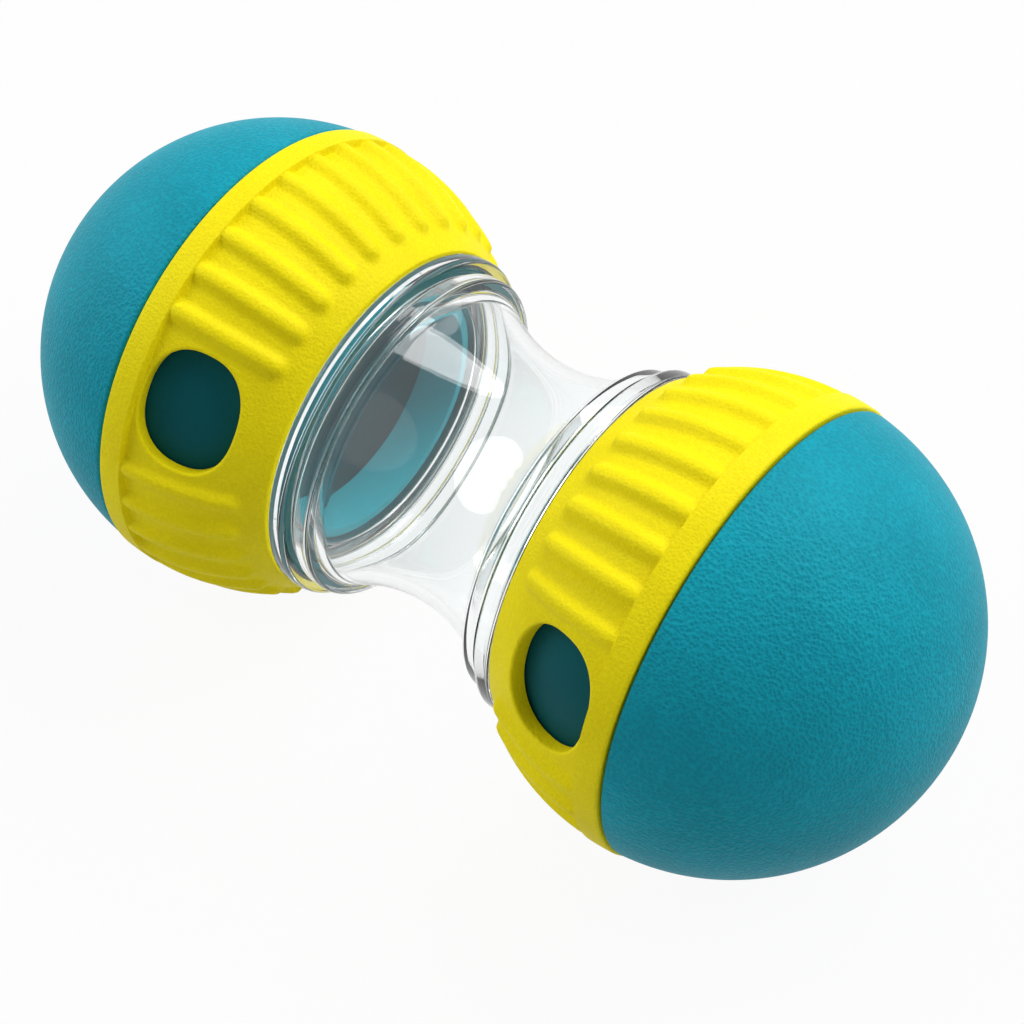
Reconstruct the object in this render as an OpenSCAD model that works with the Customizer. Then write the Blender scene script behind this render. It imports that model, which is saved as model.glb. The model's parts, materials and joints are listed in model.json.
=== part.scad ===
// Dumbbell treat dispenser: a clear hourglass chamber between two round ends.
// Each end screws onto the chamber and has a ribbed ring that twists to open its treat hole, drawn shut.
// The toy lies along X on its two ring rims, with the floor at Z = 0.
// Each end is drawn along its own axis: Z is the distance from the middle of the toy, +X faces the treat hole.

/* [Bulbs] */
// Widest diameter, over the rim and the ribs of each ring
bulb_d = 80; // [76:0.5:90]
// Distance from the middle of the toy to the centre of each bulb
bulb_x = 46; // [44:0.5:60]
// Direction of the right treat hole above the horizontal
right_hole_angle = 19; // [-60:1:60]
// Direction of the left treat hole above the horizontal
left_hole_angle = 32; // [-60:1:60]

/* [Adjuster ring] */
// Length of the ring along the axis
ring_l = 27.3; // [25:0.1:29]
// Wall between the ribs
ring_wall = 2.7; // [2:0.1:3.2]
// Length of the smooth rim beside the dome
rim_l = 4.5; // [3:0.1:6]
// Length of the smooth lip beside the chamber
lip_l = 3; // [2:0.1:5]
// Least wall of that lip, on a small bulb
lip_wall = 1.2; // [0.8:0.1:1.5]
// Places for ribs all the way round
rib_places = 34; // [24:1:40]
// Places that the treat hole takes from the ribs, an odd number
rib_places_at_hole = 3; // [3:2:7]
// Diameter of a rib
rib_d = 3.8; // [3:0.1:4.5]
// Height of a rib above the ring
rib_h = 1.3; // [0.8:0.1:1.6]
// Space left at each end of a rib
rib_end_gap = 0.6; // [0.3:0.1:1.5]
// Step where a rib's round end begins
rib_end_step = 0.15; // [0.05:0.05:0.4]
// How far the ring turns from shut to open
twist_max = 40; // [36:1:60]

/* [Treat hole] */
// Length of the hole round the ring
hole_d = 20; // [14:0.5:20]
// Width of the hole along the axis
hole_w = 16.4; // [12:0.2:16.8]
// Radius of the hole's two flatter sides
hole_side_r = 14; // [12:0.5:20]
// Distance of the hole from the bulb's centre, towards the chamber
hole_back = 9.7; // [9:0.1:10.5]
// How much the sleeve's window is wider than the hole, on each side
window_margin = 0.5; // [0.3:0.1:0.8]

/* [Shutter sleeve] */
// Wall of the sleeve
sleeve_wall = 2.4; // [1.8:0.1:3]
// Running gap between the sleeve and the ring
sleeve_gap = 0.4; // [0.2:0.05:0.6]
// Wall of the threaded neck
neck_wall = 2; // [1.6:0.1:2.2]
// Wall of the throat, the tube inside the chamber's spigot
throat_wall = 1.5; // [1.2:0.1:2]
// Thickness of the floor that joins the throat to the neck
floor_t = 1.2; // [1:0.1:1.5]
// Cord diameter of the drag ring
drag_cord_d = 1.5; // [1.2:0.1:1.6]

/* [Dome] */
// How far the dome begins past the bulb's centre
dome_start = 4.2; // [3.5:0.1:6]
// Wall of the soft cover
cover_wall = 2; // [1.5:0.1:2.2]
// How far the cover lies below the rim of the ring
cover_step = 0.3; // [0.1:0.1:0.8]
// Wall of the rigid liner
liner_wall = 2.2; // [1.6:0.1:3]
// Thickness of the liner's flange
liner_flange_t = 2.2; // [2:0.1:3]
// Length of the liner's collar inside the sleeve
collar_l = 4; // [3:0.1:6]
// Wall of the liner's collar
collar_wall = 1.5; // [1.2:0.1:2]
// Thickness of the stop tab on the ring
tab_t = 1.1; // [0.8:0.1:1.2]
// Length of the stop tab
tab_l = 1.5; // [1:0.1:1.6]
// Angle that the stop tab covers
tab_angle = 9; // [6:1:15]
// Free angle at each end of the slot that the stop tab runs in
slot_play = 1; // [0.5:0.5:3]

/* [Chamber] */
// Outer diameter at the waist
waist_d = 44.6; // [42:0.2:47]
// Wall of the hourglass
chamber_wall = 2; // [1.6:0.1:2.4]
// Outer diameter where the flare meets the bead
flare_d = 54.4; // [53:0.2:56]
// Diameter of the bead
bead_d = 58; // [56.5:0.1:59]
// Length of the bead
bead_l = 3; // [2:0.1:4]
// Length of the groove between the bead and the flange
groove_l = 0.7; // [0.5:0.1:1.5]
// Depth of that groove below the bead
groove_depth = 0.9; // [0.4:0.1:1.2]
// Diameter of the flange
flange_d = 61.6; // [60:0.1:62.4]
// Length of the flange
flange_l = 3; // [2:0.1:4]
// Thickness of the ledge inside the flange
ledge_t = 1.5; // [1.2:0.1:1.8]
// Outer diameter of the threaded spigot
spigot_d = 50.4; // [49:0.1:51]
// Bore of the spigot
spigot_bore_d = 44.4; // [42:0.2:46]
// Length of the spigot past the flange
spigot_l = 7; // [6.5:0.1:7.5]

/* [Thread and seal] */
// Number of thread starts
thread_starts = 3; // [2:1:4]
// Advance in one turn
thread_lead = 18; // [16:0.5:24]
// Angle that each thread lug covers
thread_span = 45; // [40:1:50]
// Thickness of a thread lug
thread_t = 1.6; // [1.4:0.1:1.8]
// Height of a thread lug
thread_h = 1.45; // [1:0.05:1.6]
// Gap round the thread lugs
thread_gap = 0.25; // [0.2:0.05:0.4]
// Thickness of the neck gasket
gasket_t = 1.2; // [0.8:0.1:1.6]

/* [Clearances] */
// Gap between the faces that turn past each other
face_gap = 0.3; // [0.2:0.05:0.5]
// Gap at a seal or a bonded wall
seat_gap = 0.1; // [0.05:0.05:0.2]

/* [Hidden] */
$fn = 96;

// Overlap that lets cuts and joined solids pass through each other
over = 0.2;

// Bulb radii, from the outside in
bulb_r = bulb_d / 2;
valley_r = bulb_r - rib_h;
ring_in_r = valley_r - ring_wall;
sleeve_out_r = ring_in_r - sleeve_gap;
sleeve_in_r = sleeve_out_r - sleeve_wall;
cover_out_r = bulb_r - cover_step;
cover_in_r = cover_out_r - cover_wall;
liner_out_r = cover_in_r - seat_gap;
liner_in_r = liner_out_r - liner_wall;

// Stations along the axis of an end, from the dome to the chamber
dome_face = bulb_x + dome_start;
ring_back = dome_face - face_gap;
rim_front = ring_back - rim_l;
ring_front = ring_back - ring_l;
lip_back = ring_front + lip_l;
flange_back = ring_front - face_gap;
flange_front = flange_back - flange_l;
bead_back = flange_front - groove_l;
bead_front = bead_back - bead_l;
spigot_end = flange_back + spigot_l;
neck_front = flange_back + gasket_t;
throat_front = flange_back + face_gap;
floor_front = spigot_end + face_gap;
neck_back = floor_front + floor_t;

// Radii at the screw joint
spigot_r = spigot_d / 2;
neck_bore_r = spigot_r + thread_h + thread_gap;
neck_out_r = neck_bore_r + neck_wall;
lip_in_r = neck_out_r + face_gap;
throat_r = spigot_bore_d / 2 - face_gap;

// The thread: the neck's lugs lie on the chamber side of the spigot's lugs
spigot_lug_z = spigot_end - thread_t / 2 - thread_lead * thread_span / 360 - face_gap;
neck_lug_z = neck_front + thread_t / 2 + over;
neck_lug_offset = thread_t + face_gap;
neck_lug_turn = (neck_lug_z - spigot_lug_z + neck_lug_offset) * 360 / thread_lead;
lug_steps = 8;

// The drag ring's groove, in the straight back part of the sleeve
drag_z = bulb_x + dome_start / 2;
drag_r = ring_in_r - seat_gap - drag_cord_d / 2;
drag_groove_r = drag_r - drag_cord_d / 2 - seat_gap;
drag_groove_l = drag_cord_d + 2 * seat_gap;

// The treat hole points along the bulb's surface normal
hole_tilt = asin(hole_back / bulb_r);

// A rib lies on a circle round the bulb's centre, from the rim to the lip
rib_r = rib_d / 2;
rib_path_r = bulb_r - rib_r;
rib_start = asin((bulb_x - rim_front + rib_r + rib_end_gap) / rib_path_r);
rib_stop = asin((bulb_x - lip_back - rib_r - rib_end_gap) / rib_path_r);
rib_pitch = 360 / rib_places;

// The stop tab, on the far side from the hole
tab_mid = 180;
tab_r = ring_in_r + seat_gap;

axis_height = bulb_r;

// Colours
clear_plastic = [0.86, 0.90, 0.91, 0.35];
teal = [0.05, 0.53, 0.60];
pale_teal = [0.08, 0.66, 0.73];
dark_teal = [0.02, 0.25, 0.27];
yellow = [0.93, 0.84, 0.03];
silicone = [0.12, 0.33, 0.35];

// Places what is drawn along Z at the right or the left end of the toy
module right_end() {
    translate([0, 0, axis_height]) rotate([-90 - right_hole_angle, 0, 0]) rotate([0, 90, 0]) children();
}

module left_end() {
    translate([0, 0, axis_height]) rotate([90 - left_hole_angle, 0, 0]) rotate([0, -90, 0]) children();
}

// Outline pieces for turned solids: X is the radius and Y the station along the axis
module tube(inner, outer, from, to) {
    translate([inner, from]) square([outer - inner, to - from]);
}

module ball(radius, from, to) {
    intersection() {
        translate([0, bulb_x]) circle(r = radius);
        tube(0, radius, from, to);
    }
}

// The treat hole's outline: round, with two flatter sides across the axis
module hole_outline(margin) {
    intersection() {
        circle(d = hole_d + 2 * margin);
        translate([hole_w / 2 - hole_side_r, 0]) circle(r = hole_side_r + margin);
        translate([hole_side_r - hole_w / 2, 0]) circle(r = hole_side_r + margin);
    }
}

module treat_hole(margin) {
    translate([0, 0, bulb_x]) rotate([0, hole_tilt, 0]) rotate([0, 90, 0])
        linear_extrude(height = bulb_r + over) hole_outline(margin);
}

// One helical thread lug, as a strip of rings of four points
function lug_ring(turn, inner, outer, z) = [
    [inner * cos(turn), inner * sin(turn), z - thread_t / 2],
    [outer * cos(turn), outer * sin(turn), z - thread_t / 2],
    [outer * cos(turn), outer * sin(turn), z + thread_t / 2],
    [inner * cos(turn), inner * sin(turn), z + thread_t / 2]
];

function lug_side(step, edge) = let (
        a = 4 * step + edge,
        b = 4 * step + (edge + 1) % 4
    ) [[a, b, a + 4], [b, b + 4, a + 4]];

module thread_lug(inner, outer, start_z) {
    points = [
        for (step = [0 : lug_steps])
            let (turn = thread_span * step / lug_steps)
            each lug_ring(turn, inner, outer, start_z + thread_lead * turn / 360)
    ];
    last = 4 * lug_steps;
    sides = [for (step = [0 : lug_steps - 1]) for (edge = [0 : 3]) each lug_side(step, edge)];
    ends = [[0, 2, 1], [0, 3, 2], [last, last + 1, last + 2], [last, last + 2, last + 3]];
    polyhedron(points = points, faces = concat(sides, ends));
}

module thread(inner, outer, start_z, turn) {
    for (start = [0 : thread_starts - 1])
        rotate([0, 0, turn + 360 / thread_starts * start]) thread_lug(inner, outer, start_z);
}

// Half of the chamber's outline, from the waist to the end of a spigot
module chamber_outline() {
    waist_r = waist_d / 2;
    flare_rise = flare_d / 2 - waist_r;
    flare_r = (bead_front * bead_front + flare_rise * flare_rise) / (2 * flare_rise);
    flare_mid = waist_r + flare_r;
    bore_curve_r = flare_r + chamber_wall;
    bore_r = flare_mid - sqrt(bore_curve_r * bore_curve_r - bead_front * bead_front);
    difference() {
        union() {
            difference() {
                tube(0, flare_d / 2, 0, bead_front + over);
                translate([flare_mid, 0]) circle(r = flare_r);
            }
            tube(0, bead_d / 2, bead_front, bead_back);
            tube(0, bead_d / 2 - groove_depth, bead_back - over, flange_front + over);
            tube(0, flange_d / 2, flange_front, flange_back);
            tube(0, spigot_r, flange_back - over, spigot_end);
        }
        difference() {
            tube(0, bore_r, 0, bead_front);
            translate([flare_mid, 0]) circle(r = bore_curve_r);
        }
        tube(0, bore_r, bead_front, flange_back - ledge_t);
        tube(0, spigot_bore_d / 2, bead_front, spigot_end);
    }
}

module spigot_thread() {
    thread(spigot_r - over, spigot_r + thread_h, spigot_lug_z, 0);
}

module chamber() {
    color(clear_plastic) {
        right_end() rotate_extrude() {
            chamber_outline();
            mirror([0, 1]) chamber_outline();
        }
        right_end() spigot_thread();
        left_end() spigot_thread();
    }
}

module gasket() {
    color(silicone) rotate_extrude()
        tube(neck_bore_r + seat_gap, neck_out_r - face_gap, flange_back, neck_front);
}

module sleeve() {
    color(dark_teal) {
        difference() {
            rotate_extrude() difference() {
                union() {
                    ball(sleeve_out_r, lip_back + sleeve_gap, bulb_x);
                    tube(0, sleeve_out_r, bulb_x, dome_face);
                    tube(0, neck_out_r, neck_front, neck_back);
                    tube(0, throat_r, throat_front, neck_back);
                }
                tube(throat_r, neck_bore_r, neck_front, floor_front);
                tube(0, throat_r - throat_wall, throat_front, bulb_x);
                ball(sleeve_in_r, neck_back, bulb_x);
                tube(0, sleeve_in_r, bulb_x, dome_face);
                tube(drag_groove_r, bulb_r, drag_z - drag_groove_l / 2, drag_z + drag_groove_l / 2);
            }
            rotate([0, 0, twist_max]) treat_hole(window_margin);
        }
        thread(neck_bore_r - thread_h, neck_bore_r + over, neck_lug_z, neck_lug_turn);
    }
}

module drag_ring() {
    color(silicone) rotate_extrude() translate([drag_r, drag_z]) circle(d = drag_cord_d);
}

// One rib, a round bar bent round the bulb's centre, with ball ends
module rib() {
    translate([0, 0, bulb_x]) rotate([90, 0, 0]) {
        rotate([0, 0, -rib_stop]) rotate_extrude(angle = rib_stop - rib_start)
            translate([rib_path_r, 0]) circle(r = rib_r);
        for (end = [rib_start, rib_stop])
            rotate([0, 0, -end]) translate([rib_path_r, 0, 0]) sphere(r = rib_r - rib_end_step);
    }
}

module adjuster_ring() {
    first_rib = (rib_places_at_hole + 1) / 2;
    color(yellow) {
        difference() {
            union() {
                rotate_extrude() {
                    tube(lip_in_r, lip_in_r + lip_wall, ring_front, bulb_x);
                    ball(valley_r, ring_front, rim_front + over);
                    ball(bulb_r, rim_front, ring_back);
                }
                for (place = [first_rib : rib_places - first_rib]) rotate([0, 0, rib_pitch * place]) rib();
            }
            rotate_extrude() {
                tube(0, lip_in_r, ring_front, bulb_x);
                ball(ring_in_r, lip_back, bulb_x);
                tube(0, ring_in_r, bulb_x, ring_back);
            }
            treat_hole(0);
        }
        rotate([0, 0, tab_mid - tab_angle / 2]) rotate_extrude(angle = tab_angle)
            tube(tab_r, tab_r + tab_t, ring_back - over, ring_back + tab_l);
    }
}

module dome_liner() {
    slot_angle = tab_angle + twist_max + 2 * slot_play;
    flange_back_face = dome_face + liner_flange_t;
    collar_r = sleeve_in_r - seat_gap;
    color(pale_teal) difference() {
        rotate_extrude() {
            difference() {
                ball(liner_out_r, dome_face, bulb_x + bulb_r);
                ball(liner_in_r, flange_back_face, bulb_x + bulb_r);
                tube(0, collar_r - collar_wall, dome_face, flange_back_face);
            }
            tube(collar_r - collar_wall, collar_r, dome_face - collar_l, dome_face + over);
        }
        rotate([0, 0, tab_mid - tab_angle / 2 - slot_play]) rotate_extrude(angle = slot_angle)
            tube(tab_r - face_gap, bulb_r, dome_face, dome_face + tab_l + face_gap);
    }
}

module dome_cover() {
    color(teal) rotate_extrude() difference() {
        ball(cover_out_r, dome_face, bulb_x + bulb_r);
        ball(cover_in_r, dome_face, bulb_x + bulb_r);
    }
}

chamber();
right_end() gasket();  // right_gasket
right_end() sleeve();  // right_sleeve
right_end() drag_ring();  // right_drag_ring
right_end() adjuster_ring();  // right_adjuster_ring
right_end() dome_liner();  // right_dome_liner
right_end() dome_cover();  // right_dome_cover
left_end() gasket();  // left_gasket
left_end() sleeve();  // left_sleeve
left_end() drag_ring();  // left_drag_ring
left_end() adjuster_ring();  // left_adjuster_ring
left_end() dome_liner();  // left_dome_liner
left_end() dome_cover();  // left_dome_cover
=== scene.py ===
import json
import math
import bpy
from mathutils import Matrix, Vector


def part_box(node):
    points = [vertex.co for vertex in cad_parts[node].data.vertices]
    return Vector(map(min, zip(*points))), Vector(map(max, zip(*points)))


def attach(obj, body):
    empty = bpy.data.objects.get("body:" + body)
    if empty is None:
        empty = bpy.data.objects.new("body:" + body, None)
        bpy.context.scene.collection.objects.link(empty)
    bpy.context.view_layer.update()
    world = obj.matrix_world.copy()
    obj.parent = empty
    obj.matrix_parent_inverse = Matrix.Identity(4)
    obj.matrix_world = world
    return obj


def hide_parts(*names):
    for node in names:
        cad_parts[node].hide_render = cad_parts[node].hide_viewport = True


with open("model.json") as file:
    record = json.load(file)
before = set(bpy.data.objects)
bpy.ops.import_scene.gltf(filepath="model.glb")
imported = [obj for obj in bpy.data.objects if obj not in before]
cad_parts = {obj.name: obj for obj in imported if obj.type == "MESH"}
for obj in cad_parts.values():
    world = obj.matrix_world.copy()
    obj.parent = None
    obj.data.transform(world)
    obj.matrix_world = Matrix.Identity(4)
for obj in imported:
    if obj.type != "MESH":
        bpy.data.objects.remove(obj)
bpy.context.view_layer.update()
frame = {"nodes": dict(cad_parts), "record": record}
print("frame: loaded", len(frame["nodes"]), "pieces")

mm = 0.001
sides = ("right", "left")
joints = {joint["name"]: joint for joint in frame["record"]["behaviour"]["joints"]}
bulbX, _, axisZ = joints["right_ring_twist"]["pos_m"]   # centre of the right bulb
ringLow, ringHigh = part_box("right_adjuster_ring")
domeLow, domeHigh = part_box("right_dome_cover")
bulbRadius = (ringHigh.z - ringLow.z) / 2
ringFront = ringLow.x
domeFace = domeLow.x

camera = {
    "place": (0.1970, -0.2493, 0.4130),
    "azimuth": 37.87,         # degrees, 0 looks along +Y
    "elevation": 50.09,
    "lens": 106.7,
    "sensor": 36,
    "clipStart": 0.01,
}

studio = {
    "ambient": 0.27,
    "floorColour": (0.58, 0.58, 0.58, 1),
    "floorRoughness": 0.9,
    "floorSize": 6,
    "floorGlow": 0.94,        # how far the floor is lifted to white in the picture
    "lamps": [                # name, place, width and height, power, all aimed at the toy
        ("topLamp", (0.18, 0.56, 0.98), (1.70, 0.55), 13.0),
        ("frontLamp", (0.45, -0.80, 0.80), (1.20, 1.20), 1.2),
        ("leftLamp", (-0.95, -0.30, 0.60), (1.00, 1.00), 7.0),
        ("rightLamp", (0.60, 0.85, 0.55), (0.90, 0.90), 3.0),
    ],
}


def deselectAll():
    if bpy.context.object and bpy.context.object.mode != "OBJECT":
        bpy.ops.object.mode_set(mode="OBJECT")
    bpy.ops.object.select_all(action="DESELECT")


def pickOnly(piece):
    deselectAll()
    piece.select_set(True)
    bpy.context.view_layer.objects.active = piece


def startEdit():
    bpy.ops.object.mode_set(mode="EDIT")
    bpy.ops.mesh.select_all(action="SELECT")


def endEdit():
    bpy.ops.mesh.select_all(action="SELECT")
    bpy.ops.mesh.normals_make_consistent(inside=False)
    bpy.ops.object.mode_set(mode="OBJECT")


def drawOut(move):
    bpy.ops.mesh.extrude_region_move(TRANSFORM_OT_translate={"value": move})


def applyModifier(piece, modifier):
    pickOnly(piece)
    bpy.ops.object.modifier_apply(modifier=modifier.name)


def deletePiece(piece):
    pickOnly(piece)
    bpy.ops.object.delete()


def setMaterial(piece, material):
    piece.data.materials.clear()
    piece.data.materials.append(material)


def finishPiece(piece, smoothAngle, material):
    pickOnly(piece)
    bpy.ops.object.shade_smooth_by_angle(angle=math.radians(smoothAngle))
    setMaterial(piece, material)


def copyPiece(piece, name, place):
    twin = piece.copy()
    twin.data = piece.data.copy()
    twin.name = name
    twin.data.name = name
    bpy.context.collection.objects.link(twin)
    twin.data.transform(place)
    return twin


# Turned pieces: an outline of (station, radius) points, traced and spun round the toy's axis
turning = {
    "outlineWeld": 0.001 * mm,    # outline points closer than this are joined
    "weld": 0.002 * mm,           # the same after the turn
    "cornerSegments": 6,
}


def evenStations(start, end, step):
    count = round(abs(end - start) / step)
    return [start + (end - start) * i / count for i in range(count + 1)]


def sphereEdge(x, radius):
    return math.sqrt(radius ** 2 - (x - bulbX) ** 2)


def roundCorners(corners):
    segments = turning["cornerSegments"]
    points = []
    for i, (x, r, fillet) in enumerate(corners):
        corner = Vector((x, r))
        if fillet == 0 or i in (0, len(corners) - 1):
            points.append((x, r))
            continue
        before = (Vector(corners[i - 1][:2]) - corner).normalized()
        after = (Vector(corners[i + 1][:2]) - corner).normalized()
        half = before.angle(after) / 2
        start = corner + before * fillet / math.tan(half)
        end = corner + after * fillet / math.tan(half)
        middle = corner + (before + after).normalized() * fillet / math.sin(half)
        for k in range(segments + 1):
            spoke = (start - middle).lerp(end - middle, k / segments).normalized()
            points.append(tuple(middle + spoke * fillet))
    return points


def spinOutline(name, outline, steps):
    deselectAll()
    bpy.ops.mesh.primitive_plane_add(size=mm)
    piece = bpy.context.object
    piece.name = name
    piece.data.name = name
    startEdit()
    bpy.ops.mesh.select_mode(type="VERT")
    bpy.ops.mesh.merge(type="CENTER")              # leaves the one point that traces the outline
    x, r = outline[0]
    bpy.ops.transform.translate(value=(x, 0, axisZ + r))
    for nextX, nextR in outline[1:]:
        drawOut((nextX - x, 0, nextR - r))
        x, r = nextX, nextR
    bpy.ops.mesh.select_all(action="SELECT")
    bpy.ops.mesh.remove_doubles(threshold=turning["outlineWeld"])
    bpy.ops.mesh.spin(steps=steps, angle=math.tau, center=(0, 0, axisZ), axis=(1, 0, 0))
    bpy.ops.mesh.select_all(action="SELECT")
    bpy.ops.mesh.remove_doubles(threshold=turning["weld"])
    endEdit()
    return piece


# An end is modelled at the right with its treat hole level towards -Y, then turned to its place
holeAngles = {"right": 19, "left": 32}   # degrees above level


def aboutAxis(turn):
    lift = Matrix.Translation((0, 0, axisZ))
    return lift @ turn @ lift.inverted()


def endPlace(side):
    if side == "right":
        return aboutAxis(Matrix.Rotation(math.radians(-holeAngles[side]), 4, "X"))
    swapEnds = Matrix.Rotation(math.pi, 4, "Z")
    return aboutAxis(Matrix.Rotation(math.radians(180 - holeAngles[side]), 4, "X") @ swapEnds)


def bothEnds(rightPiece, leftName):
    leftPiece = copyPiece(rightPiece, leftName, endPlace("left"))
    rightPiece.data.transform(endPlace("right"))
    return zip(sides, (rightPiece, leftPiece))


# Materials
grain = {                         # what all grained finishes share
    "cellSoftness": 0.35,
    "wrinkleDetail": 4,
    "wrinkleRoughness": 0.6,
    "patchDetail": 3,
    "low": 0.3,                   # noise up to low is dark and smooth, from high on light and rough
    "high": 0.7,
    "roughnessSpread": 0.06,
    "ior": 1.48,
}


def startMaterial(name):
    material = bpy.data.materials.new(name)
    material.use_nodes = True
    nodes = material.node_tree.nodes
    nodes.clear()
    output = nodes.new("ShaderNodeOutputMaterial")
    shader = nodes.new("ShaderNodeBsdfPrincipled")
    material.node_tree.links.new(shader.outputs["BSDF"], output.inputs["Surface"])
    return material, nodes, material.node_tree.links, shader


# Painted light: surface within a radius of the bulb's centre gets a paler colour, standing in for light
# that hardly reaches the bulb's inside
def paintedLightInside(nodes, links, coords, outsideColour, look):
    mirrored = nodes.new("ShaderNodeVectorMath")       # both ends measured as the right one
    mirrored.operation = "ABSOLUTE"
    links.new(coords.outputs["Object"], mirrored.inputs[0])
    depth = nodes.new("ShaderNodeVectorMath")
    depth.operation = "DISTANCE"
    depth.inputs[1].default_value = (bulbX, 0, axisZ)
    links.new(mirrored.outputs["Vector"], depth.inputs[0])
    share = nodes.new("ShaderNodeMapRange")
    share.inputs["From Min"].default_value = look["paintedLightRadius"] - look["paintedLightBlend"]
    share.inputs["From Max"].default_value = look["paintedLightRadius"] + look["paintedLightBlend"]
    links.new(depth.outputs["Value"], share.inputs["Value"])
    blend = nodes.new("ShaderNodeMix")
    blend.data_type = "RGBA"
    inputs = {socket.identifier: socket for socket in blend.inputs}
    outputs = {socket.identifier: socket for socket in blend.outputs}
    inputs["A_Color"].default_value = look["paintedLightColour"]
    links.new(share.outputs["Result"], inputs["Factor_Float"])
    links.new(outsideColour, inputs["B_Color"])
    return outputs["Result_Color"]


def grainedMaterial(name, look):
    material, nodes, links, shader = startMaterial(name)
    coords = nodes.new("ShaderNodeTexCoord")
    cells = nodes.new("ShaderNodeTexVoronoi")
    cells.feature = "SMOOTH_F1"
    cells.inputs["Scale"].default_value = look["cellScale"]
    cells.inputs["Smoothness"].default_value = grain["cellSoftness"]
    wrinkles = nodes.new("ShaderNodeTexNoise")
    wrinkles.inputs["Scale"].default_value = look["wrinkleScale"]
    wrinkles.inputs["Detail"].default_value = grain["wrinkleDetail"]
    wrinkles.inputs["Roughness"].default_value = grain["wrinkleRoughness"]
    patches = nodes.new("ShaderNodeTexNoise")
    patches.inputs["Scale"].default_value = look["patchScale"]
    patches.inputs["Detail"].default_value = grain["patchDetail"]
    warp = nodes.new("ShaderNodeVectorMath")
    warp.operation = "MULTIPLY_ADD"
    warp.inputs[1].default_value = (look["warp"],) * 3
    links.new(coords.outputs["Object"], wrinkles.inputs["Vector"])
    links.new(coords.outputs["Object"], patches.inputs["Vector"])
    links.new(wrinkles.outputs["Color"], warp.inputs[0])
    links.new(coords.outputs["Object"], warp.inputs[2])
    links.new(warp.outputs["Vector"], cells.inputs["Vector"])
    height = nodes.new("ShaderNodeMix")
    height.data_type = "FLOAT"
    height.inputs["Factor"].default_value = look["wrinkleShare"]
    links.new(cells.outputs["Distance"], height.inputs["A"])
    links.new(wrinkles.outputs["Fac"], height.inputs["B"])
    bump = nodes.new("ShaderNodeBump")
    bump.inputs["Strength"].default_value = look["bump"]
    bump.inputs["Distance"].default_value = look["bumpDepth"]
    links.new(height.outputs["Result"], bump.inputs["Height"])
    links.new(bump.outputs["Normal"], shader.inputs["Normal"])
    tone = nodes.new("ShaderNodeValToRGB")
    tone.color_ramp.elements[0].position = grain["low"]
    tone.color_ramp.elements[0].color = look["darkColour"]
    tone.color_ramp.elements[1].position = grain["high"]
    tone.color_ramp.elements[1].color = look["colour"]
    mixTone = nodes.new("ShaderNodeMix")
    mixTone.data_type = "FLOAT"
    mixTone.inputs["Factor"].default_value = look["grainShade"]
    links.new(patches.outputs["Fac"], mixTone.inputs["A"])
    links.new(height.outputs["Result"], mixTone.inputs["B"])
    links.new(mixTone.outputs["Result"], tone.inputs["Fac"])
    # painted light: a paler colour inside the bulb
    if "paintedLightColour" in look:
        colour = paintedLightInside(nodes, links, coords, tone.outputs["Color"], look)
    else:
        colour = tone.outputs["Color"]
    links.new(colour, shader.inputs["Base Color"])
    gloss = nodes.new("ShaderNodeMapRange")
    gloss.inputs["From Min"].default_value = grain["low"]
    gloss.inputs["From Max"].default_value = grain["high"]
    gloss.inputs["To Min"].default_value = look["roughness"] - grain["roughnessSpread"]
    gloss.inputs["To Max"].default_value = look["roughness"] + grain["roughnessSpread"]
    links.new(wrinkles.outputs["Fac"], gloss.inputs["Value"])
    links.new(gloss.outputs["Result"], shader.inputs["Roughness"])
    shader.inputs["IOR"].default_value = grain["ior"]
    shader.inputs["Specular IOR Level"].default_value = look["shine"]
    return material


tealRubberLook = {
    "colour": (0.0050, 0.325, 0.425, 1),
    "darkColour": (0.0030, 0.222, 0.298, 1),
    "roughness": 0.50,
    "shine": 0.08,
    "cellScale": 1700,
    "wrinkleScale": 1500,
    "patchScale": 70,
    "warp": 0.5 * mm,             # how far the wrinkles bend the cells
    "wrinkleShare": 0.40,
    "grainShade": 0.55,
    "bump": 0.85,
    "bumpDepth": 0.30 * mm,
}

yellowLook = {
    "colour": (0.860, 0.745, 0.0045, 1),
    "darkColour": (0.740, 0.620, 0.0030, 1),
    "roughness": 0.55,
    "shine": 0.09,
    "cellScale": 2100,
    "wrinkleScale": 1700,
    "patchScale": 90,
    "warp": 0.4 * mm,
    "wrinkleShare": 0.45,
    "grainShade": 0.50,
    "bump": 0.60,
    "bumpDepth": 0.22 * mm,
}

satinGrain = {
    "cellScale": 1500,
    "wrinkleScale": 1100,
    "patchScale": 60,
    "warp": 0.4 * mm,
    "wrinkleShare": 0.6,
    "grainShade": 0.35,
    "bump": 0.15,
    "bumpDepth": 0.1 * mm,
}

darkTealLook = {
    **satinGrain,
    "colour": (0.0030, 0.086, 0.102, 1),
    "darkColour": (0.0022, 0.068, 0.082, 1),
    # painted light: the paler teal on the sleeve's inside stands in for light; the sleeve's own colour
    # is the dark teal above
    "paintedLightColour": (0.0060, 0.265, 0.320, 1),
    "paintedLightRadius": 33.5 * mm,    # painted light: the shell's inside and the throat lie within it and get the paler teal
    "paintedLightBlend": 0.1 * mm,
    "roughness": 0.42,
    "shine": 0.05,
}

tealPlasticLook = {
    **satinGrain,
    # painted light: the liner's teal is lifted paler than its own colour, standing in for light that
    # hardly reaches the bulb's inside
    "colour": (0.0080, 0.420, 0.510, 1),
    "darkColour": (0.0060, 0.370, 0.460, 1),
    "roughness": 0.40,
    "shine": 0.25,
}

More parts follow.
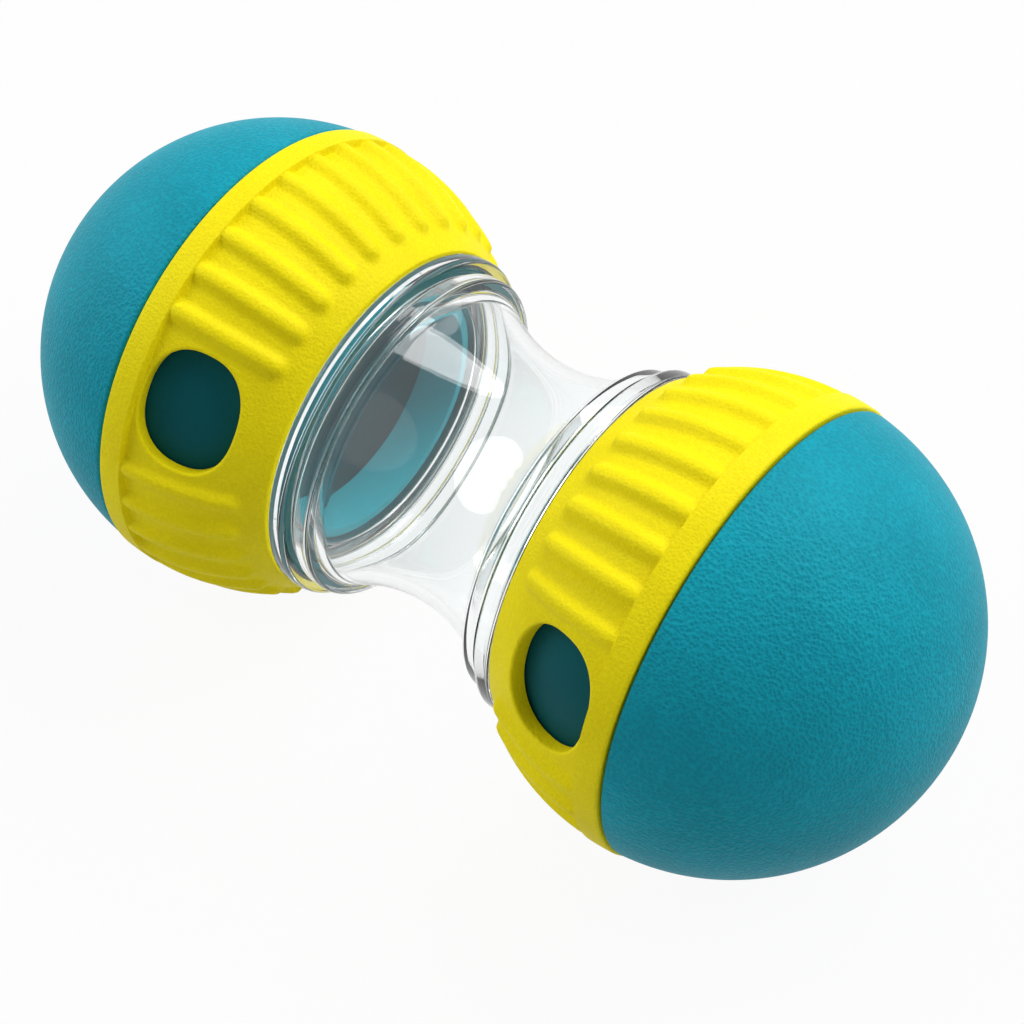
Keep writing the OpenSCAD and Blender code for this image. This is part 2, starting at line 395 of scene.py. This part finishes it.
siliconeLook = {
    **satinGrain,
    "colour": (0.020, 0.120, 0.135, 1),
    "darkColour": (0.016, 0.100, 0.112, 1),
    "roughness": 0.55,
    "shine": 0.25,
    "cellScale": 2200,
    "wrinkleScale": 1500,
    "patchScale": 120,
    "warp": 0.3 * mm,
    "bump": 0.12,
}

clearLook = {
    "colour": (0.965, 0.985, 0.985, 1),
    "roughness": 0.015,
    "hazyRoughness": 0.030,
    "ior": 1.52,
    "flowScale": 38,              # faint moulding waves along the wall
    "flowDetail": 2,
    "flowBump": 0.05,
    "flowDepth": 0.4 * mm,
}


def clearMaterial(name, look):
    material, nodes, links, shader = startMaterial(name)
    shader.inputs["Base Color"].default_value = look["colour"]
    shader.inputs["IOR"].default_value = look["ior"]
    shader.inputs["Transmission Weight"].default_value = 1
    coords = nodes.new("ShaderNodeTexCoord")
    waves = nodes.new("ShaderNodeTexNoise")
    waves.inputs["Scale"].default_value = look["flowScale"]
    waves.inputs["Detail"].default_value = look["flowDetail"]
    links.new(coords.outputs["Object"], waves.inputs["Vector"])
    bump = nodes.new("ShaderNodeBump")
    bump.inputs["Strength"].default_value = look["flowBump"]
    bump.inputs["Distance"].default_value = look["flowDepth"]
    links.new(waves.outputs["Fac"], bump.inputs["Height"])
    links.new(bump.outputs["Normal"], shader.inputs["Normal"])
    haze = nodes.new("ShaderNodeMapRange")
    haze.inputs["To Min"].default_value = look["roughness"]
    haze.inputs["To Max"].default_value = look["hazyRoughness"]
    links.new(waves.outputs["Fac"], haze.inputs["Value"])
    links.new(haze.outputs["Result"], shader.inputs["Roughness"])
    return material


tealRubber = grainedMaterial("tealRubber", tealRubberLook)
yellowPlastic = grainedMaterial("yellowPlastic", yellowLook)
darkTeal = grainedMaterial("darkTealPlastic", darkTealLook)
tealPlastic = grainedMaterial("tealPlastic", tealPlasticLook)
silicone = grainedMaterial("siliconeRubber", siliconeLook)
clearPlastic = clearMaterial("clearPlastic", clearLook)
print("materials: made")


# Yellow twist ring with ribs, a smooth rim and a treat hole
ring = {
    "length": 27.3 * mm,
    "valleyRadius": bulbRadius - 1.3 * mm,
    "skinRadius": bulbRadius - 3.0 * mm,   # what lies beyond it is on the outside
    "innerRadius": bulbRadius - 4.0 * mm,
    "lipBore": 29.2 * mm,
    "lipLength": 3.0 * mm,
    "rimLength": 4.5 * mm,
    "stepLength": 0.3 * mm,       # over which the rim rises
    "stepRows": 6,
    "edgeRound": 0.5 * mm,
    "edgeReach": 0.75 * mm,       # kept free for the rounding at each edge
    "ribPlaces": 34,
    "placesAtHole": 3,
    "ribTop": 0.5 * mm,           # half of a rib's flat top
    "ribFoot": 2.35 * mm,         # half of its foot
    "ribHeight": 1.2 * mm,
    "ribEndGap": 1.3 * mm,        # from the lip to the middle of a rib's round end
    "ribStartGap": 0.9 * mm,      # the same at the rim
    "stepsPerRib": 14,
    "rowStep": 0.5 * mm,
    "boreStep": 1.5 * mm,
    "tabInner": bulbRadius - 3.9 * mm,
    "tabOuter": bulbRadius - 2.8 * mm,
    "tabLength": 1.5 * mm,
    "tabAngle": 9,                # degrees
    "backPlay": 0.01 * mm,        # a face this close to the ring's back lies on it
    "smoothAngle": 40,
}
ringBack = ringFront + ring["length"]
rimFront = ringBack - ring["rimLength"]
lipBack = ringFront + ring["lipLength"]

hole = {
    "length": 20 * mm,            # round the ring
    "width": 16.4 * mm,           # along the toy
    "squareness": 2.35,           # 2 is an ellipse
    "points": 160,
    "back": 9.7 * mm,             # from the bulb's centre towards the chamber
    "edge": [                     # depth below the ring's surface and growth of the outline there, in mm
        (8.0, 0),
        (0.60, 0),
        (0.36, 0.05),
        (0.18, 0.16),
        (0.06, 0.34),
        (-0.03, 0.60),
        (-3.0, 0.70),
    ],
}


def smoothStep(low, high, value):
    t = min(1, max(0, (value - low) / (high - low)))
    return t * t * (3 - 2 * t)


def ringRadius(x):
    half = ring["stepLength"] / 2
    rise = smoothStep(rimFront - half, rimFront + half, x)
    return ring["valleyRadius"] + (bulbRadius - ring["valleyRadius"]) * rise


def ringOutline():
    soft = ring["edgeRound"]
    half = ring["stepLength"] / 2
    spans = [
        (ringFront + ring["edgeReach"], rimFront - half, ring["rowStep"]),
        (rimFront - half, rimFront + half, ring["stepLength"] / ring["stepRows"]),
        (rimFront + half, ringBack - ring["edgeReach"], ring["rowStep"]),
    ]
    outer = []
    for start, end, step in spans:
        outer += [(x, sphereEdge(x, ringRadius(x))) for x in evenStations(start, end, step)[:-1]]
    lipCorner = (ringFront, ring["lipBore"])
    frontEdge = sphereEdge(ringFront, ring["valleyRadius"])
    backEdge = sphereEdge(ringBack, bulbRadius)
    front = roundCorners([(*lipCorner, 0), (ringFront, frontEdge, soft), (*outer[0], 0)])
    rear = roundCorners([(*outer[-1], 0), (ringBack, backEdge, soft), (ringBack, ring["tabOuter"], 0)])
    tab = [(ringBack, ring["tabInner"]), (ringBack, ring["innerRadius"])]
    boreStations = evenStations(bulbX, lipBack, ring["boreStep"])
    bore = [(x, sphereEdge(x, ring["innerRadius"])) for x in boreStations]
    return front[:-1] + outer + rear[1:] + tab + bore + [(lipBack, ring["lipBore"]), lipCorner]


def ribShare(x, y, z):
    radius = math.hypot(y, z)
    pitch = math.tau / ring["ribPlaces"]
    turn = math.atan2(z, -y)                       # 0 at the treat hole
    place = round(turn / pitch)
    ribRadius = ring["valleyRadius"] + ring["ribHeight"]
    if abs(place) <= ring["placesAtHole"] // 2 or ringRadius(x) >= ribRadius:
        return 0
    ribStart = math.asin((bulbX - rimFront + ring["ribStartGap"]) / bulbRadius)
    ribEnd = math.asin((bulbX - lipBack - ring["ribEndGap"]) / bulbRadius)
    lean = math.atan2(bulbX - x, radius)
    across = (turn - place * pitch) * radius
    beyond = max(0, lean - ribEnd, ribStart - lean) * bulbRadius
    return smoothStep(ring["ribFoot"], ring["ribTop"], math.hypot(across, beyond))


def squarer(share):
    return math.copysign(abs(share) ** (2 / hole["squareness"]), share)


def cutterPiece():
    deselectAll()
    bpy.ops.mesh.primitive_circle_add(vertices=hole["points"], radius=1, fill_type="NGON")
    cutter = bpy.context.object
    startEdit()
    for _ in hole["edge"][1:]:
        drawOut((0, 0, 1))                         # one row for each line of the edge
    bpy.ops.object.mode_set(mode="OBJECT")
    for vertex in cutter.data.vertices:
        depth, grow = hole["edge"][round(vertex.co.z)]
        sphere = ring["valleyRadius"] - depth * mm
        x = squarer(vertex.co.x) * (hole["width"] / 2 + grow * mm)
        y = squarer(vertex.co.y) * (hole["length"] / 2 + grow * mm)
        vertex.co = (x, y, math.sqrt(sphere ** 2 - x ** 2 - y ** 2))
    tilt = math.asin(hole["back"] / bulbRadius)
    outward = Vector((-math.sin(tilt), -math.cos(tilt), 0))
    along = Vector((math.cos(tilt), -math.sin(tilt), 0))
    around = outward.cross(along)
    turn = Matrix((along, around, outward)).transposed().to_4x4()
    cutter.data.transform(Matrix.Translation((bulbX, 0, axisZ)) @ turn)
    pickOnly(cutter)
    startEdit()
    endEdit()
    return cutter


def growTab(piece):
    pickOnly(piece)
    bpy.ops.object.mode_set(mode="EDIT")
    bpy.ops.mesh.select_mode(type="FACE")
    bpy.ops.mesh.select_all(action="DESELECT")
    bpy.ops.object.mode_set(mode="OBJECT")
    for face in piece.data.polygons:               # on the back face, opposite the hole
        x, y, z = face.center - Vector((0, 0, axisZ))
        onBack = abs(x - ringBack) < ring["backPlay"]
        onTab = ring["tabInner"] < math.hypot(y, z) < ring["tabOuter"]
        face.select = onBack and onTab and abs(math.atan2(z, y)) < math.radians(ring["tabAngle"] / 2)
    bpy.ops.object.mode_set(mode="EDIT")
    drawOut((ring["tabLength"], 0, 0))
    bpy.ops.mesh.select_mode(type="VERT")
    bpy.ops.object.mode_set(mode="OBJECT")


def raiseRibs(piece):
    ribs = piece.vertex_groups.new(name="ribs")
    for vertex in piece.data.vertices:
        x, y, z = vertex.co - Vector((0, 0, axisZ))
        outside = math.hypot(x - bulbX, y, z) > ring["skinRadius"]
        share = ribShare(x, y, z) if outside else 0
        if share > 0:
            ribs.add([vertex.index], share, "REPLACE")
    deselectAll()
    bpy.ops.object.empty_add(location=(bulbX, 0, axisZ))
    centre = bpy.context.object
    swell = piece.modifiers.new("ribs", "CAST")    # draws the ribs out to a larger sphere
    swell.object = centre
    swell.size = ring["valleyRadius"] + ring["ribHeight"]
    swell.use_radius_as_size = False
    swell.factor = 1
    swell.vertex_group = "ribs"
    applyModifier(piece, swell)
    piece.vertex_groups.clear()
    deletePiece(centre)


def makeRing():
    piece = spinOutline("rightTwistRing", ringOutline(), ring["ribPlaces"] * ring["stepsPerRib"])
    growTab(piece)
    raiseRibs(piece)
    cutter = cutterPiece()
    cut = piece.modifiers.new("treatHole", "BOOLEAN")
    cut.object = cutter
    cut.solver = "EXACT"
    applyModifier(piece, cut)
    deletePiece(cutter)
    finishPiece(piece, ring["smoothAngle"], yellowPlastic)
    return piece


for side, piece in bothEnds(makeRing(), "leftTwistRing"):
    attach(piece, side + "_ring")
    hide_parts(side + "_adjuster_ring")
print("rings: ribs raised and treat holes cut")


# Soft teal dome
dome = {
    "radius": domeHigh.x - bulbX,
    "wall": 2.0 * mm,
    "edgeRound": 0.6 * mm,
    "edgeReach": 0.9 * mm,        # kept free for the rounding
    "rowStep": 1.2 * mm,
    "steps": 288,
    "smoothAngle": 40,
}


def sphereRow(radius, fromX, rows):
    fromTurn = math.acos((fromX - bulbX) / radius)
    turns = [fromTurn * (1 - i / rows) for i in range(rows + 1)]
    return [(bulbX + radius * math.cos(turn), radius * math.sin(turn)) for turn in turns]


def makeDome():
    rows = round(dome["radius"] * math.pi / 2 / dome["rowStep"])
    outer = sphereRow(dome["radius"], domeFace + dome["edgeReach"], rows)
    inner = sphereRow(dome["radius"] - dome["wall"], domeFace, rows)
    frontEdge = sphereEdge(domeFace, dome["radius"])
    front = roundCorners([(*inner[0], 0), (domeFace, frontEdge, dome["edgeRound"]), (*outer[0], 0)])
    piece = spinOutline("rightDome", inner[::-1] + front[1:-1] + outer, dome["steps"])
    finishPiece(piece, dome["smoothAngle"], tealRubber)
    return piece


for side, piece in bothEnds(makeDome(), "leftDome"):
    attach(piece, side + "_end")
    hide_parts(side + "_dome_cover")
print("domes: turned")


# Clear chamber: hourglass, bead and flange at each end, threaded spigots
chamber = {
    "waistRadius": 22.3 * mm,
    "wall": 2.0 * mm,
    "ledge": 1.5 * mm,            # inside the flange, from the bore to the spigot
    "flareRadius": 27.2 * mm,
    "beadRadius": 29.0 * mm,
    "beadLength": 3.0 * mm,
    "grooveRadius": 28.1 * mm,
    "grooveLength": 0.7 * mm,
    "flangeRadius": 30.8 * mm,
    "flangeLength": 3.0 * mm,
    "flangeBack": ringFront - 0.3 * mm,
    "spigotRadius": 25.2 * mm,
    "spigotBore": 22.2 * mm,
    "spigotEnd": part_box("chamber")[1].x,
    "round": 0.7 * mm,
    "smallRound": 0.25 * mm,
    "rowStep": 0.6 * mm,
    "steps": 320,
    "smoothAngle": 35,
}
flangeFront = chamber["flangeBack"] - chamber["flangeLength"]
beadBack = flangeFront - chamber["grooveLength"]
beadFront = beadBack - chamber["beadLength"]

thread = {
    "starts": 3,
    "lead": 18 * mm,
    "span": 45,                   # degrees that one lug covers
    "thickness": 1.6 * mm,
    "height": 1.45 * mm,
    "sink": 0.2 * mm,             # how deep a lug reaches into the spigot's wall
    "startStation": 3.35 * mm,    # from the spigot's end to a lug's first middle
    "segments": 20,
}


def flarePoints(wall):
    rise = chamber["flareRadius"] - chamber["waistRadius"]
    curve = (beadFront ** 2 + rise ** 2) / (2 * rise)
    middle = chamber["waistRadius"] + curve
    stations = evenStations(0, beadFront, chamber["rowStep"])
    return [(x, middle - math.sqrt((curve + wall) ** 2 - x ** 2)) for x in stations]


def chamberOutline():
    big = chamber["round"]
    small = chamber["smallRound"]
    flare = flarePoints(0)
    bore = flarePoints(chamber["wall"])
    boreEnd = chamber["flangeBack"] - chamber["ledge"]
    steps = roundCorners([
        (*flare[-2], 0),
        (*flare[-1], small),
        (beadFront, chamber["beadRadius"], big),
        (beadBack, chamber["beadRadius"], big),
        (beadBack, chamber["grooveRadius"], small),
        (flangeFront, chamber["grooveRadius"], small),
        (flangeFront, chamber["flangeRadius"], big),
        (chamber["flangeBack"], chamber["flangeRadius"], big),
        (chamber["flangeBack"], chamber["spigotRadius"], small),
        (chamber["spigotEnd"], chamber["spigotRadius"], big),
        (chamber["spigotEnd"], chamber["spigotBore"], big),
        (boreEnd, chamber["spigotBore"], small),
        (boreEnd, bore[-1][1], big),
        (*bore[-1], 0),
    ])
    outer = flare[:-1] + steps[1:]
    outerLeft = [(-x, r) for x, r in outer[:0:-1]]
    boreLeft = [(-x, r) for x, r in bore[1:-1]]
    return outerLeft + outer + bore[-2::-1] + boreLeft + outerLeft[:1]


def makeLug():
    deselectAll()
    bpy.ops.mesh.primitive_plane_add(size=1)
    lug = bpy.context.object
    height = thread["height"] + thread["sink"]
    middle = chamber["spigotRadius"] - thread["sink"] + height / 2
    quarterTurn = Matrix.Rotation(math.pi / 2, 4, "X")     # stands the plane up, lays the lug level
    size = Matrix.Diagonal((thread["thickness"], 1, height, 1))
    lug.data.transform(Matrix.Translation((0, 0, middle)) @ size @ quarterTurn)
    sweep = lug.modifiers.new("helix", "SCREW")
    sweep.axis = "X"
    sweep.angle = math.radians(thread["span"])
    sweep.screw_offset = thread["lead"] * thread["span"] / 360
    sweep.steps = thread["segments"]
    sweep.render_steps = thread["segments"]
    applyModifier(lug, sweep)
    startEdit()
    bpy.ops.mesh.remove_doubles(threshold=turning["weld"])
    bpy.ops.mesh.select_all(action="SELECT")
    bpy.ops.mesh.fill_holes(sides=4)
    endEdit()
    start = chamber["spigotEnd"] - thread["startStation"]
    lug.data.transform(Matrix.Translation((start, 0, axisZ)) @ quarterTurn)
    return lug


def makeChamber():
    piece = spinOutline("clearChamber", chamberOutline(), chamber["steps"])
    lug = makeLug()
    for side in sides:
        for start in range(thread["starts"]):
            turn = aboutAxis(Matrix.Rotation(math.tau * start / thread["starts"], 4, "X"))
            twin = copyPiece(lug, "lugCopy", endPlace(side) @ turn)
            join = piece.modifiers.new("lug", "BOOLEAN")
            join.operation = "UNION"
            join.solver = "EXACT"
            join.object = twin
            applyModifier(piece, join)
            deletePiece(twin)
    deletePiece(lug)
    finishPiece(piece, chamber["smoothAngle"], clearPlastic)
    return piece


clearChamber = makeChamber()
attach(clearChamber, "chamber")
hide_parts("chamber")
clearChamber.visible_shadow = False    # clear plastic lets the lamps shine through
print("chamber: turned and threaded")


# The inner pieces keep their solids and get their finish, with painted light on the sleeve's inside and
# on the paler liner
innerFinish = {
    "sleeve": darkTeal,
    "dome_liner": tealPlastic,
    "gasket": silicone,
    "drag_ring": silicone,
}
for side in sides:
    for kind, material in innerFinish.items():
        setMaterial(frame["nodes"][side + "_" + kind], material)
print("inner pieces: finished")


# Studio
def seenByPicture(nodes, links):
    path = nodes.new("ShaderNodeLightPath")
    first = nodes.new("ShaderNodeMath")
    first.operation = "MAXIMUM"
    links.new(path.outputs["Is Camera Ray"], first.inputs[0])
    links.new(path.outputs["Is Glossy Ray"], first.inputs[1])
    second = nodes.new("ShaderNodeMath")
    second.operation = "MAXIMUM"
    links.new(first.outputs["Value"], second.inputs[0])
    links.new(path.outputs["Is Transmission Ray"], second.inputs[1])
    return second.outputs["Value"]


def makeFloor():
    deselectAll()
    bpy.ops.mesh.primitive_plane_add(size=studio["floorSize"])
    floor = bpy.context.object
    floor.name = "floor"
    material, nodes, links, shader = startMaterial("paleFloor")
    shader.inputs["Base Color"].default_value = studio["floorColour"]
    shader.inputs["Roughness"].default_value = studio["floorRoughness"]
    output = next(node for node in nodes if node.type == "OUTPUT_MATERIAL")
    glow = nodes.new("ShaderNodeEmission")
    lift = nodes.new("ShaderNodeMath")
    lift.operation = "MULTIPLY"
    lift.inputs[1].default_value = studio["floorGlow"]
    links.new(seenByPicture(nodes, links), lift.inputs[0])
    mix = nodes.new("ShaderNodeMixShader")
    links.new(lift.outputs["Value"], mix.inputs["Fac"])
    links.new(shader.outputs["BSDF"], mix.inputs[1])
    links.new(glow.outputs["Emission"], mix.inputs[2])
    links.new(mix.outputs["Shader"], output.inputs["Surface"])
    floor.data.materials.append(material)


def makeWorld():
    world = bpy.data.worlds.new("softWhite")
    world.use_nodes = True
    bpy.context.scene.world = world
    nodes = world.node_tree.nodes
    links = world.node_tree.links
    background = nodes["Background"]
    background.inputs["Color"].default_value = (1, 1, 1, 1)
    strength = nodes.new("ShaderNodeMapRange")
    strength.inputs["To Min"].default_value = studio["ambient"]
    strength.inputs["To Max"].default_value = 1
    links.new(seenByPicture(nodes, links), strength.inputs["Value"])
    links.new(strength.outputs["Result"], background.inputs["Strength"])


def makeLamps():
    for name, place, size, power in studio["lamps"]:
        data = bpy.data.lights.new(name, "AREA")
        data.shape = "ELLIPSE"
        data.size, data.size_y = size
        data.energy = power
        lamp = bpy.data.objects.new(name, data)
        bpy.context.collection.objects.link(lamp)
        lamp.location = place
        aim = Vector((0, 0, axisZ)) - Vector(place)
        lamp.rotation_euler = aim.to_track_quat("-Z", "Y").to_euler()


def makeCamera():
    data = bpy.data.cameras.new("photoCamera")
    data.lens = camera["lens"]
    data.sensor_width = camera["sensor"]
    data.clip_start = camera["clipStart"]
    eye = bpy.data.objects.new("photoCamera", data)
    bpy.context.collection.objects.link(eye)
    around = math.radians(camera["azimuth"])
    above = math.radians(camera["elevation"])
    level = math.cos(above)
    back = Vector((math.sin(around) * level, -math.cos(around) * level, math.sin(above)))
    eye.location = camera["place"]
    eye.rotation_euler = (-back).to_track_quat("-Z", "Y").to_euler()
    bpy.context.scene.camera = eye


makeFloor()
makeWorld()
makeLamps()
makeCamera()
bpy.context.scene.view_settings.view_transform = "Standard"
print("studio: lit")
